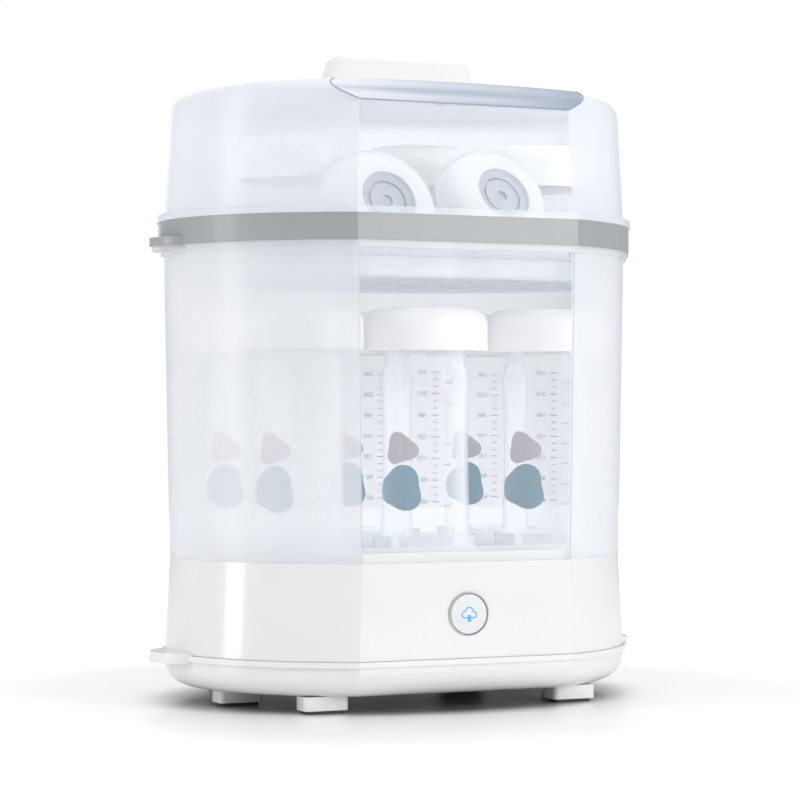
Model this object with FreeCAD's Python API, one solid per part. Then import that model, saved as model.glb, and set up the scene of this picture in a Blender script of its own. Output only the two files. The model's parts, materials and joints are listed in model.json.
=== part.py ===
import FreeCAD, Part
import math
import os
from collections import namedtuple

vec = FreeCAD.Vector
up = vec(0, 0, 1)
back = vec(0, 1, 0)

# A steam steriliser for baby bottles, in millimetres. Every tier is an oval with a flat front:
# half width a along X, half depth b along Y, distance d from the middle to the flat front, height z.
Oval = namedtuple("Oval", "a b d z")

# Heights of the stack, from the table up.
pad_top = 2.0
pan_bottom = 10.0
lip_bottom = 27.3
pan_top = 30.5
deck_bottom = 79.0
deck_top = 82.0
housing_top = 85.5
upstand_top = 91.0
shell_rim_bottom = 264.0
shell_top = 268.0
band_top = 283.0
lid_lip_top = 287.0
brow_start = 347.0
lid_crown = 363.0
overall_height = 385.0

# Ovals at those heights.
pan_low = Oval(141.9, 115.6, 101.6, pan_bottom)
pan_high = Oval(142.4, 116.0, 102.0, pan_top)
lip = Oval(144.4, 118.0, 103.8, lip_bottom)
housing_low = Oval(142.4, 116.0, 102.0, pan_top)
housing_high = Oval(139.4, 114.0, 100.5, housing_top)
shell_low = Oval(139.4, 114.0, 100.5, housing_top)
shell_high = Oval(143.0, 115.4, 101.5, shell_top)
shell_rim = Oval(145.2, 116.4, 102.6, shell_rim_bottom)
band = Oval(146.6, 117.0, 103.0, shell_top)
lid_lip = Oval(147.5, 117.8, 103.6, band_top)
lid_low = Oval(143.2, 115.2, 101.2, band_top)
lid_high = Oval(139.5, 112.0, 98.5, brow_start)
rack_oval = Oval(132.5, 107.0, 93.5, 0.0)

# Walls, lips and tabs.
base_wall = 3.0
pan_wall = 2.5
shell_wall = 2.2
lid_wall = 2.2
pan_edge_radius = 14.0
lid_edge_radius = 9.0
crown_rise = 5.0
band_wall = 8.0
tray_wall = 2.0
tray_floor = 248.0
tray_ledge = 262.0
tray_flange_gap = 5.1
tray_side_gap = 8.4
tray_step_gap = 18.0
upstand_gap = 3.0
upstand_wall = 2.2
tab_reach = 156.0
tab_radius = 26.0
shell_tab_reach = 154.4

# The load: six bottles in two rows, and capped pots, collars and a soother in the upper basket.
bottle_pitch = 80.0
bottle_rows = (-42.0, 40.0)
bottle_foot = 89.0
bottle_height = 125.0
cap_radius = 37.0
cap_bottom = 207.0
cap_height = 25.5
cap_wall = 2.0
bottle_radius = 27.0
waist_radius = 25.4
neck_radius = 24.0
bottle_wall = 1.6
cup_outer = 31.0
cup_inner = 28.6
cup_height = 10.0
drain_radius = 15.0
pot_places = ((-62.0, 6.0), (26.0, 30.0), (96.0, 2.5))
pot_foot = 250.0
pot_cap_bottom = 309.0
collar_radius = 36.8
collar_mouth = 17.5
collar_height = 18.0
collar_wall = 2.2
collar_poses = (((43.0, -50.0, 296.5), 62.0, 9.0), ((-33.0, -54.0, 291.5), 68.0, 6.0))
soother_pose = ((6.0, -30.0, 294.0), 70.0, 0.0)

# The row frame stands on the table under the middle of the bounding box.
y_shift = (lip.d - lip.b) / 2

# Button and electronics, on and behind the flat front.
button_z = 55.7
button_radius = 11.5
button_front = -102.0
button_travel = 1.0
ring_inner = 11.85
ring_outer = 12.6
button_hole = 12.65
board_front = -90.0
board_thickness = 1.6
board_half = 32.0
board_low = 37.0
board_high = 75.0
board_screw_places = [(x, z) for x in (-27.0, 27.0) for z in (41.0, 71.0)]

# Heater under the deck.
dish_y = 6.0
dish_hole = 55.0
dish_wall_outer = 53.2
plate_thickness = 1.2
plate_floor = 64.8
flange_radius = 64.0
flange_top = 77.0
clamp_inner = 60.0
clamp_outer = 76.0
clamp_thickness = 1.5
clamp_screw_circle = 70.0
element_circle = 40.0
element_radius = 3.6
gland_z = 44.0
gland_radius = 6.0
gland_bore = 3.6

foot_places = [(x, y) for x in (-79.0, 79.0) for y in (-74.0, 76.0)] + [(-108.0, -14.0), (108.0, -14.0)]
foot_size = (27.0, 16.0)
foot_corner = 3.0
post_places = [(x, y) for x in (-100.0, 100.0) for y in (-38.0, 48.0)]
post_radius = 6.0
screw_well_radius = 4.0
screw_seat = 26.0
screw_clearance = 1.8
screw_pilot = 1.65
handle_screw_x = 30.0


def inset(oval, gap, z=None):
    """The oval drawn in by a gap, at its own height or another."""
    return Oval(oval.a - gap, oval.b - gap, oval.d - gap, oval.z if z is None else z)


def between(low, high, z):
    """The oval at height z on the straight wall from low to high, or past its ends."""
    share = (z - low.z) / (high.z - low.z)
    return Oval(*[p + (q - p) * share for p, q in zip(low[:3], high[:3])], z)


def oval_wire(oval):
    start = -math.asin(oval.d / oval.b)
    curve = Part.Ellipse(vec(0, 0, oval.z), oval.a, oval.b)
    arc = curve.toShape(start, math.pi - start)
    front = Part.makeLine(curve.value(math.pi - start), curve.value(start))
    return Part.Wire([arc, front])


def oval_solid(low, high):
    return Part.makeLoft([oval_wire(low), oval_wire(high)], True, True)


def oval_block(oval, z0, z1):
    return oval_solid(oval._replace(z=z0), oval._replace(z=z1))


def cylinder(radius, z0, z1, x=0.0, y=0.0):
    return Part.makeCylinder(radius, z1 - z0, vec(x, y, z0))


def cylinder_y(radius, y0, y1, x=0.0, z=0.0):
    return Part.makeCylinder(radius, y1 - y0, vec(x, y0, z), back)


def block(x0, x1, y0, y1, z0, z1):
    return Part.makeBox(x1 - x0, y1 - y0, z1 - z0, vec(x0, y0, z0))


def tube(outer, inner, z0, z1, x=0.0, y=0.0):
    return cylinder(outer, z0, z1, x, y).cut(cylinder(inner, z0 - 1, z1 + 1, x, y))


def turned(points, x=0.0, y=0.0):
    """A round solid from an outline of (radius, height) points."""
    outline = [vec(r, 0, z) for r, z in points]
    solid = Part.Face(Part.makePolygon(outline + outline[:1])).revolve(vec(0, 0, 0), up, 360)
    solid.translate(vec(x, y, 0))
    return solid


def end_tabs(reach, z0, z1):
    """The two crescent grips at the ends of a tier, before its inside is cut away."""
    return [cylinder(tab_radius, z0, z1, side * (reach - tab_radius)) for side in (-1, 1)]


def level_edges(solid, z, tolerance=0.01):
    """The edges that lie flat at height z."""
    low = [e for e in solid.Edges if abs(e.BoundBox.ZMin - z) < tolerance]
    return [e for e in low if abs(e.BoundBox.ZMax - z) < tolerance]


def ellipse_solid(low, high):
    curves = [Part.Wire(Part.Ellipse(vec(0, 0, o.z), o.a, o.b).toShape()) for o in (low, high)]
    return Part.makeLoft(curves, True, True)


def along_x(points, half_length):
    """A prism along X from an outline of (y, z) points."""
    outline = [vec(-half_length, y, z) for y, z in points]
    return Part.Face(Part.makePolygon(outline + outline[:1])).extrude(vec(2 * half_length, 0, 0))


def rounded_pan(low, high, radius):
    """An oval tub with a round lower edge all the way along, the flat front included."""
    bowl = ellipse_solid(low, high)
    bowl = bowl.makeFillet(radius, level_edges(bowl, low.z))
    reach = 2 * low.a
    slab = along_x([(-low.d, low.z), (-high.d, high.z), (reach, high.z), (reach, low.z)], reach)
    front = [e for e in level_edges(slab, low.z) if abs(e.BoundBox.YMax + low.d) < 0.01]
    return bowl.common(slab.makeFillet(radius, front))


def lower_base_cover():
    outer = rounded_pan(pan_low, pan_high, pan_edge_radius)
    inner_low = inset(pan_low, pan_wall, pan_bottom + pan_wall)
    inner = rounded_pan(inner_low, inset(pan_high, pan_wall, pan_top + 5), pan_edge_radius - pan_wall)
    rim = oval_block(lip, lip_bottom, pan_top)
    for tab in end_tabs(tab_reach, lip_bottom - 1.5, pan_top + 1.2):
        rim = rim.fuse(tab)
    rim = rim.cut(oval_block(pan_high, pan_top, pan_top + 5))
    tub = outer.fuse(rim).cut(inner)
    for x, y in post_places:
        tub = tub.fuse(cylinder(post_radius, pan_bottom, pan_top, x, y))
        tub = tub.cut(cylinder(screw_well_radius, pan_bottom - 1, screw_seat, x, y))
        tub = tub.cut(cylinder(screw_clearance, screw_seat - 1, pan_top + 1, x, y))
    return tub.removeSplitter()


def feet():
    half_x, half_y = (side / 2 for side in foot_size)
    blocks = []
    for x, y in foot_places:
        foot = block(x - half_x, x + half_x, y - half_y, y + half_y, pad_top, pan_bottom)
        upright = [e for e in foot.Edges if e.BoundBox.ZLength > 1]
        blocks.append(foot.makeFillet(foot_corner, upright))
    return Part.makeCompound(blocks)


def foot_pads():
    half_x, half_y = (side / 2 - 2 for side in foot_size)
    pads = []
    for x, y in foot_places:
        pad = block(x - half_x, x + half_x, y - half_y, y + half_y, 0, pad_top)
        upright = [e for e in pad.Edges if e.BoundBox.ZLength > 1]
        pads.append(pad.makeFillet(foot_corner - 1, upright))
    return Part.makeCompound(pads)


def screw(head_radius, head_height, shank_radius, length):
    """A pan-head screw that points up, with its head's top at height 0 and a cross recess in it."""
    head = cylinder(head_radius, 0, head_height)
    head = head.makeFillet(head_height * 0.4, level_edges(head, 0))
    slot = block(-head_radius * 0.55, head_radius * 0.55, -0.35, 0.35, -1, head_height * 0.5)
    cross = block(-0.35, 0.35, -head_radius * 0.55, head_radius * 0.55, -1, head_height * 0.5)
    return head.cut(slot).cut(cross).fuse(cylinder(shank_radius, head_height, head_height + length))


def base_screws():
    head = 2.4
    one = screw(3.6, head, 1.6, 14)
    return Part.makeCompound([one.translated(vec(x, y, screw_seat - head)) for x, y in post_places])


def upper_base_housing():
    solid = oval_solid(housing_low, housing_high)
    solid = solid.fuse(oval_block(inset(housing_high, upstand_gap), deck_top, upstand_top))
    inner_high = inset(between(housing_low, housing_high, deck_bottom), base_wall)
    solid = solid.cut(oval_solid(inset(housing_low, base_wall, pan_top - 1), inner_high))
    solid = solid.cut(oval_block(inset(housing_high, upstand_gap + upstand_wall), deck_top, upstand_top + 1))
    for x, y in post_places:
        solid = solid.fuse(cylinder(post_radius, pan_top, deck_bottom, x, y))
        solid = solid.cut(cylinder(screw_pilot, pan_top - 1, pan_top + 14.5, x, y))
    for x, y in clamp_screw_places():
        solid = solid.fuse(cylinder(4, flange_top - plate_thickness, deck_bottom, x, y))
        solid = solid.cut(cylinder(1.3, 70, deck_top - 1, x, y))
    for x, z in board_screw_places:
        solid = solid.fuse(cylinder_y(3, -housing_high.d + 0.4, board_front, x, z))
        solid = solid.cut(cylinder_y(1.25, -97.5, board_front + 1, x, z))
    solid = solid.cut(cylinder(dish_hole, deck_bottom - 1, deck_top + 1, 0, dish_y))
    solid = solid.cut(cylinder_y(button_hole, -110, -95, 0, button_z))
    solid = solid.cut(cylinder_y(gland_radius + 0.05, 100, 125, 0, gland_z))
    return solid.removeSplitter()


def clamp_screw_places():
    turns = [math.radians(angle) for angle in range(45, 360, 90)]
    return [(clamp_screw_circle * math.cos(t), dish_y + clamp_screw_circle * math.sin(t)) for t in turns]


def heating_plate():
    wall_inner = dish_wall_outer - plate_thickness
    floor_top = plate_floor + plate_thickness
    under_flange = flange_top - plate_thickness
    underside = [(0, plate_floor), (wall_inner - 1, plate_floor), (dish_wall_outer, floor_top + 1)]
    flange = [(dish_wall_outer, under_flange), (flange_radius, under_flange), (flange_radius, flange_top)]
    inside = [(wall_inner, flange_top), (wall_inner, floor_top + 1.3), (wall_inner - 1.3, floor_top)]
    return turned(underside + flange + inside + [(0, floor_top)], 0, dish_y)


def plate_seal():
    return tube(63.0, 56.5, flange_top, deck_bottom, 0, dish_y)


def plate_clamp():
    under_flange = flange_top - plate_thickness
    ring = tube(clamp_outer, clamp_inner, under_flange - clamp_thickness, under_flange, 0, dish_y)
    for x, y in clamp_screw_places():
        ring = ring.cut(cylinder(1.7, 70, 80, x, y))
    return ring


def clamp_screws():
    head = 2.0
    one = screw(2.8, head, 1.2, 6.0)
    z = flange_top - plate_thickness - clamp_thickness - head
    return Part.makeCompound([one.translated(vec(x, y, z)) for x, y in clamp_screw_places()])


def heater_element():
    """An open ring heater with two ends that turn down to their terminals."""
    centre_z = plate_floor - element_radius - 0.05
    section = Part.Face(Part.Wire(Part.makeCircle(element_radius, vec(element_circle, 0, centre_z), back)))
    ring = section.revolve(vec(0, 0, 0), up, 310)
    ring.rotate(vec(0, 0, 0), up, 115)
    ring.translate(vec(0, dish_y, 0))
    for angle in (115, 65):
        x = element_circle * math.cos(math.radians(angle))
        y = dish_y + element_circle * math.sin(math.radians(angle))
        ring = ring.fuse(cylinder(2, 48, centre_z, x, y))
    return ring


def thermostat():
    disc = cylinder(8, plate_floor - 6.05, plate_floor - 0.05, 0, dish_y)
    for x in (-4, 4):
        disc = disc.fuse(block(x - 0.4, x + 0.4, dish_y - 2, dish_y + 2, plate_floor - 14, plate_floor - 5))
    return disc


def thermal_fuse():
    body = Part.makeCylinder(2.2, 12, vec(18, dish_y - 6, plate_floor - 2.3), back)
    return body.fuse(Part.makeCylinder(0.6, 24, vec(18, dish_y - 12, plate_floor - 2.3), back))


def control_board():
    board = block(-board_half, board_half, board_front, board_front + board_thickness, board_low, board_high)
    for x, z in board_screw_places:
        board = board.cut(cylinder_y(1.6, board_front - 1, board_front + 3, x, z))
    return board


def board_screws():
    one = screw(2.6, 1.8, 1.15, 6.5)
    one.rotate(vec(0, 0, 0), vec(1, 0, 0), 90)
    rear = board_front + board_thickness + 1.8
    return Part.makeCompound([one.translated(vec(x, rear, z)) for x, z in board_screw_places])


def button_switch():
    body = block(-3, 3, board_front - 3.5, board_front, button_z - 3, button_z + 3)
    return body.fuse(cylinder_y(1.7, board_front - 4.5, board_front - 3.5, 0, button_z))


def power_relay():
    rear = board_front + board_thickness
    relay = block(-22, -4, rear, rear + 14, 46, 61)
    return relay.makeFillet(0.8, [e for e in relay.Edges if e.BoundBox.YMin > rear + 13])


def indicator_led():
    body = cylinder_y(1.5, board_front - 2.6, board_front, 0, button_z + 7)
    return body.fuse(Part.makeSphere(1.5, vec(0, board_front - 2.6, button_z + 7)))


def terminal_block():
    body = block(-16, 16, 84, 98, pan_bottom + pan_wall, pan_bottom + pan_wall + 12)
    for x in (-10, 0, 10):
        body = body.cut(cylinder(2.6, 20, 30, x, 91))
        body = body.cut(cylinder_y(1.5, 80, 90, x, 18))
    return body


def bent_tube(points, bend, radius):
    """A tube along straight runs joined by arcs of one bend radius."""
    edges = []
    start = points[0]
    for before, corner, after in zip(points, points[1:], points[2:]):
        way_in = (corner - before).normalize()
        way_out = (after - corner).normalize()
        cut_back = bend * math.tan(way_in.getAngle(way_out) / 2)
        first = corner - way_in * cut_back
        last = corner + way_out * cut_back
        middle = corner + (way_out - way_in).normalize() * (math.hypot(bend, cut_back) - bend)
        edges.append(Part.makeLine(start, first))
        edges.append(Part.Arc(first, middle, last).toShape())
        start = last
    edges.append(Part.makeLine(start, points[-1]))
    section = Part.Wire(Part.makeCircle(radius, points[0], points[1] - points[0]))
    return Part.Wire(edges).makePipeShell([section], True, False)


def mains_wires():
    """Two insulated wires along the pan's floor, from the terminal block up to the board's back."""
    rear = board_front + board_thickness
    wires = []
    for x in (-10, 10):
        route = [vec(x, 84, 18), vec(x, -76, 18), vec(x, -76, 41), vec(x, rear, 41)]
        wires.append(bent_tube(route, 5.0, 1.4))
    return Part.makeCompound(wires)


def cable_gland():
    wall_y = between(housing_low, housing_high, gland_z).b
    sleeve = cylinder_y(gland_radius, wall_y - 11, wall_y + 0.5, 0, gland_z)
    flange = cylinder_y(9.0, wall_y + 0.3, wall_y + 1.9, 0, gland_z)
    collar = cylinder_y(7.6, wall_y - 6.2, wall_y - base_wall - 0.4, 0, gland_z)
    return sleeve.fuse(flange).fuse(collar).cut(cylinder_y(gland_bore, 90, 125, 0, gland_z))


def button_ring():
    ring = cylinder_y(ring_outer, button_front, -98.9, 0, button_z)
    ring = ring.cut(cylinder_y(ring_inner, -105, -95, 0, button_z))
    return ring


def icon_outline(grow, depth):
    """A plain cloud of three discs on a bar, grown or shrunk, extruded back from the button's face."""
    parts = [cylinder_y(2.3 + grow, button_front, button_front + depth, -2.6, button_z - 0.2)]
    parts.append(cylinder_y(2.9 + grow, button_front, button_front + depth, 0.2, button_z + 1.3))
    parts.append(cylinder_y(2.1 + grow, button_front, button_front + depth, 3.0, button_z - 0.4))
    parts.append(block(-2.6, 3.0, button_front, button_front + depth, button_z - 2.5 - grow, button_z))
    cloud = parts[0]
    for part in parts[1:]:
        cloud = cloud.fuse(part)
    return cloud


def button_icon():
    cloud = icon_outline(0.0, 0.4).cut(icon_outline(-0.8, 0.4))
    stem = block(-0.9, 1.3, button_front, button_front + 0.4, button_z - 4.4, button_z - 0.6)
    return cloud.fuse(stem).removeSplitter()


def power_button():
    cap = cylinder_y(button_radius, button_front, -98.5, 0, button_z)
    front = [e for e in cap.Edges if abs(e.BoundBox.YMax - button_front) < 0.01]
    cap = cap.makeFillet(0.7, front)
    cap = cap.fuse(cylinder_y(9, -98.5, -97.4, 0, button_z))
    cap = cap.fuse(cylinder_y(13.4, -97.4, -96.2, 0, button_z))
    cap = cap.fuse(cylinder_y(2.4, -96.2, board_front - 4.5 - button_travel - 0.1, 0, button_z))
    return cap.cut(button_icon())


def bottle_places():
    return [(x * bottle_pitch, y) for y in bottle_rows for x in (-1, 0, 1)]


def bottle_rack():
    plate_bottom = bottle_foot - 3
    rack = oval_block(rack_oval, plate_bottom, bottle_foot)
    edge = oval_block(rack_oval, bottle_foot, bottle_foot + 5)
    rack = rack.fuse(edge.cut(oval_block(inset(rack_oval, 2), bottle_foot, bottle_foot + 6)))
    for x, y in bottle_places():
        rack = rack.fuse(tube(cup_outer, cup_inner, bottle_foot, bottle_foot + cup_height, x, y))
        rack = rack.cut(cylinder(drain_radius, plate_bottom - 1, bottle_foot + 1, x, y))
        for angle in range(30, 360, 60):
            notch = block(26, 33, -3, 3, bottle_foot + 2, bottle_foot + 11)
            notch.rotate(vec(0, 0, 0), up, angle)
            rack = rack.cut(notch.translated(vec(x, y, 0)))
    for x in (-bottle_pitch / 2, bottle_pitch / 2):
        for y in (-74, -1, 70):
            rack = rack.cut(cylinder(5.5, plate_bottom - 1, bottle_foot + 1, x, y))
    for x in (-110, 110):
        for y in (-30, 30):
            rack = rack.fuse(cylinder(4, deck_top, plate_bottom, x, y))
    return rack.removeSplitter()


def bottle_outline(shrink, foot, top):
    """The waisted side of a bottle as edges, from the axis at its foot to the axis at its mouth."""
    r = [radius - shrink for radius in (bottle_radius, waist_radius, neck_radius)]
    low = vec(r[0], 0, foot + 4)
    waist = vec(r[1], 0, foot + 50)
    shoulder = vec(r[0] - 0.4, 0, foot + 102)
    neck = vec(r[2], 0, foot + 112)
    corner = Part.Arc(vec(r[0] - 4, 0, foot), vec(r[0] - 1.17, 0, foot + 1.17), low).toShape()
    edges = [Part.makeLine(vec(0, 0, foot), vec(r[0] - 4, 0, foot)), corner]
    edges.append(Part.Arc(low, waist, shoulder).toShape())
    edges.append(Part.makeLine(shoulder, neck))
    edges.append(Part.makeLine(neck, vec(r[2], 0, top)))
    edges.append(Part.makeLine(vec(r[2], 0, top), vec(0, 0, top)))
    edges.append(Part.makeLine(vec(0, 0, top), vec(0, 0, foot)))
    return Part.Face(Part.Wire(edges)).revolve(vec(0, 0, 0), up, 360)


def bottle_body():
    outer = bottle_outline(0, bottle_foot, bottle_foot + bottle_height)
    inner = bottle_outline(bottle_wall, bottle_foot + bottle_wall, bottle_foot + bottle_height + 1)
    return outer.cut(inner)


def domed_cap(bottom, skirt_inner):
    """A wide cap with a round shoulder and an inner skirt that screws over the neck."""
    top = bottom + cap_height
    solid = cylinder(cap_radius, bottom, top)
    solid = solid.makeFillet(10, level_edges(solid, top))
    hollow = cylinder(cap_radius - cap_wall, bottom - 1, top - cap_wall)
    hollow = hollow.makeFillet(8, level_edges(hollow, top - cap_wall))
    skirt = tube(skirt_inner + 1.8, skirt_inner, bottom + 1.5, top - cap_wall / 2)
    return solid.cut(hollow).fuse(skirt)


def pot_body():
    """A small clear pot that takes the same cap."""
    outer = turned([(0, pot_foot), (24, pot_foot), (26.5, pot_foot + 3), (27, pot_cap_bottom - 4),
                    (24, pot_cap_bottom), (24, pot_cap_bottom + 7), (0, pot_cap_bottom + 7)])
    inner = turned([(0, pot_foot + 1.6), (23, pot_foot + 1.6), (25, pot_foot + 4), (25.4, pot_cap_bottom - 5),
                    (22.4, pot_cap_bottom - 1), (22.4, pot_cap_bottom + 8), (0, pot_cap_bottom + 8)])
    return outer.cut(inner)


def collar_side(shrink):
    """The collar's outline from its open foot to its mouth, as a solid of revolution."""
    outer = collar_radius - shrink
    top = collar_height - shrink
    side = 7.0 - shrink / 2
    bend = vec(outer - 7, 0, side + (top - side) * 0.8)
    edges = [Part.makeLine(vec(0, 0, -shrink), vec(outer, 0, -shrink))]
    edges.append(Part.makeLine(vec(outer, 0, -shrink), vec(outer - 0.8, 0, side)))
    edges.append(Part.Arc(vec(outer - 0.8, 0, side), bend, vec(collar_mouth + 2, 0, top)).toShape())
    edges.append(Part.makeLine(vec(collar_mouth + 2, 0, top), vec(0, 0, top)))
    edges.append(Part.makeLine(vec(0, 0, top), vec(0, 0, -shrink)))
    return Part.Face(Part.Wire(edges)).revolve(vec(0, 0, 0), up, 360)


def collar():
    """A screw collar that lies flat: a low side, a round shoulder and a mouth for the teat."""
    ring = collar_side(0).cut(collar_side(collar_wall))
    return ring.cut(cylinder(collar_mouth, -1, collar_height + 1))


def collar_disc():
    """A clear stepped disc that fills the collar's mouth from inside."""
    rim = collar_mouth + 4.5
    under = collar_height - collar_wall - 0.1
    return turned([(0, under - 4), (5, under - 4), (5, under - 1.6), (9.5, under - 1.6), (9.5, under - 4.5),
                   (14, under - 4.5), (14, under - 2), (rim, under - 2), (rim, under), (12.4, under),
                   (12.4, under - 2.9), (11.1, under - 2.9), (11.1, under), (3.4, under), (3.4, under - 2.4),
                   (0, under - 2.4)])


def leaned(shape, place, tilt, yaw):
    """The shape, lying flat at the origin, stood up facing the front and put in its place."""
    shape = shape.copy()
    shape.translate(vec(0, 0, -collar_height / 2))
    shape.rotate(vec(0, 0, 0), vec(1, 0, 0), tilt)
    shape.rotate(vec(0, 0, 0), up, yaw)
    shape.translate(vec(*place))
    return shape


def soother():
    shield = Part.makeSphere(20, vec(0, 0, -10)).common(cylinder(15, 2, 20))
    knob = cylinder(5, 6, 13)
    knob = knob.makeFillet(2, level_edges(knob, 13))
    return shield.fuse(knob)


def body_shell():
    outer = oval_solid(shell_low, shell_high)
    rim = oval_block(shell_rim, shell_rim_bottom, shell_top)
    for tab in end_tabs(shell_tab_reach, shell_rim_bottom + 1, shell_top):
        rim = rim.fuse(tab)
    inner = oval_solid(inset(shell_low, shell_wall, housing_top - 1),
                       inset(shell_high, shell_wall, shell_top + 1))
    return outer.fuse(rim).cut(inner).removeSplitter()


def basket_rim():
    ring = oval_block(band, shell_top, band_top)
    for tab in end_tabs(tab_reach, shell_top, shell_top + 4.5):
        ring = ring.fuse(tab)
    ring = ring.cut(oval_block(inset(band, band_wall), shell_top - 1, band_top + 1))
    seat = oval_block(inset(band, tray_flange_gap - 0.1), band_top - 2, band_top + 1)
    return ring.cut(seat).removeSplitter()


def basket_tray():
    """A stepped basin that hangs in the band by its flange, with steam slots through its floor and ledge."""
    tray_upper = inset(band, tray_side_gap)
    tray_lower = inset(band, tray_step_gap)
    solid = oval_block(tray_upper, tray_ledge - tray_wall, band_top - 2)
    solid = solid.fuse(oval_block(inset(band, tray_flange_gap), band_top - 2, band_top))
    solid = solid.fuse(oval_block(tray_lower, tray_floor, tray_ledge))
    solid = solid.cut(oval_block(inset(tray_upper, tray_wall), tray_ledge, band_top + 1))
    solid = solid.cut(oval_block(inset(tray_lower, tray_wall), tray_floor + tray_wall, tray_ledge + 1))
    for x in range(-96, 97, 24):
        reach = tray_lower.b * math.sqrt(1 - (x / tray_lower.a) ** 2) - 16
        front = min(reach, tray_lower.d - 12)
        for y0, y1 in ((-front, -6), (6, reach)):
            slot = block(x - 2.5, x + 2.5, y0, y1, tray_floor - 1, tray_floor + tray_wall + 1)
            solid = solid.cut(slot)
    return solid.removeSplitter()


def lid_form(gap, bottom):
    """The lid's domed oval body, drawn in by a gap, with its flat front and sloping brow."""
    low = inset(between(lid_low, lid_high, bottom), gap)
    high = inset(between(lid_low, lid_high, lid_crown + 6), gap)
    crown_radius = (lid_high.a ** 2 + crown_rise ** 2) / (2 * crown_rise)
    ball = Part.makeSphere(crown_radius - gap, vec(0, 0, lid_crown - crown_radius))
    solid = ellipse_solid(low, high).common(ball)
    top = [e for e in solid.Edges if e.BoundBox.ZMin > brow_start and e.Length > 300]
    solid = solid.makeFillet(lid_edge_radius - gap, top)
    reach = 2 * lid_low.a
    over = high.z + 1
    under = low.z - 1
    solid = solid.cut(along_x([(-low.d, under), (-high.d, over), (-reach, over), (-reach, under)], reach))
    height = brow_start + lid_high.d - gap * math.sqrt(2)
    return solid.cut(along_x([(-reach, height - reach), (0, height), (-reach, height)], reach))


def lid_shell():
    lip_ring = oval_block(lid_lip, band_top, lid_lip_top)
    solid = lid_form(0.0, band_top).fuse(lip_ring).cut(lid_form(lid_wall, band_top - 1))
    for x in (-handle_screw_x, handle_screw_x):
        solid = solid.cut(cylinder(1.8, brow_start, lid_crown + 5, x, 0))
    for x in (-16, -8, 0, 8, 16):
        solid = solid.cut(cylinder(2, brow_start, lid_crown + 5, x, 0))
    return solid.removeSplitter()


def handle_pod(half_length, half_width, top, slope):
    """A long rounded pod that stands on the lid, narrower at its top."""
    z0 = lid_crown - 8
    sections = []
    for z, draw_in in ((z0, 0.0), (top, slope)):
        x, y = half_length - draw_in, half_width - draw_in * 0.6
        corner = min(x, y) * 0.7
        flat = Part.makePlane(2 * x, 2 * y, vec(-x, -y, z)).extrude(vec(0, 0, 1))
        flat = flat.makeFillet(corner, [e for e in flat.Edges if e.BoundBox.ZLength > 0.5])
        section = [f for f in flat.Faces if abs(f.BoundBox.ZMax - z) < 1e-6 and f.BoundBox.ZLength < 1e-6]
        sections.append(section[0].OuterWire)
    pod = Part.makeLoft(sections, True, True)
    return pod.makeFillet(slope * 0.55, level_edges(pod, top))


def lid_handle():
    pod = handle_pod(52.0, 19.0, overall_height, 9.0)
    pod = pod.cut(handle_pod(49.5, 16.5, overall_height - 2.5, 9.0))
    for x in (-handle_screw_x, handle_screw_x):
        pod = pod.fuse(cylinder(4, lid_crown - 8, overall_height - 2, x, 0))
        pod = pod.cut(cylinder(1.25, lid_crown - 9, overall_height - 8, x, 0))
    slot = block(-15, 15, 10, 30, lid_crown - 10, lid_crown + 2.5)
    return pod.cut(slot).cut(lid_form(0.0, band_top)).removeSplitter()


def handle_screws():
    crown_radius = (lid_high.a ** 2 + crown_rise ** 2) / (2 * crown_rise)
    drop = handle_screw_x ** 2 / (2 * crown_radius) + lid_wall + 2.05
    one = screw(3.2, 2.0, 1.2, 12.0)
    places = [vec(x, 0, lid_crown - drop - 0.1) for x in (-handle_screw_x, handle_screw_x)]
    return Part.makeCompound([one.translated(place) for place in places])


def save(name, shape):
    shape = shape.copy()
    shape.translate(vec(0, y_shift, 0))
    shape.exportStep("parts/" + name + ".step")
    box = shape.BoundBox
    print(name, len(shape.Solids), shape.isValid(), round(shape.Volume / 1000, 2),
          [round(s, 1) for s in (box.XMin, box.XMax, box.YMin, box.YMax, box.ZMin, box.ZMax)])


single_pieces = (
    lower_base_cover, feet, foot_pads, base_screws, upper_base_housing,
    heating_plate, plate_seal, plate_clamp, clamp_screws, heater_element, thermostat, thermal_fuse,
    control_board, board_screws, button_switch, power_relay, indicator_led, terminal_block, mains_wires,
    cable_gland, button_ring, power_button, button_icon, bottle_rack, body_shell,
    basket_rim, basket_tray, lid_shell, lid_handle, handle_screws,
)


def main():
    os.makedirs("parts", exist_ok=True)
    for piece in single_pieces:
        save(piece.__name__, piece())
    body = bottle_body()
    cap = domed_cap(cap_bottom, neck_radius + 0.1)
    for number, (x, y) in enumerate(bottle_places(), 1):
        save("bottle_body_%d" % number, body.translated(vec(x, y, 0)))
        save("bottle_cap_%d" % number, cap.translated(vec(x, y, 0)))
    pot = pot_body()
    pot_cap = domed_cap(pot_cap_bottom, neck_radius + 0.1)
    for number, (x, y) in enumerate(pot_places, 1):
        save("pot_body_%d" % number, pot.translated(vec(x, y, 0)))
        save("pot_cap_%d" % number, pot_cap.translated(vec(x, y, 0)))
    for number, (place, tilt, yaw) in enumerate(collar_poses, 1):
        save("collar_%d" % number, leaned(collar(), place, tilt, yaw))
        save("collar_disc_%d" % number, leaned(collar_disc(), place, tilt, yaw))
    save("soother", leaned(soother(), *soother_pose))


main()
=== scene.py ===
import json
import math
import bpy
import bmesh
from mathutils import Matrix, Vector


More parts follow.
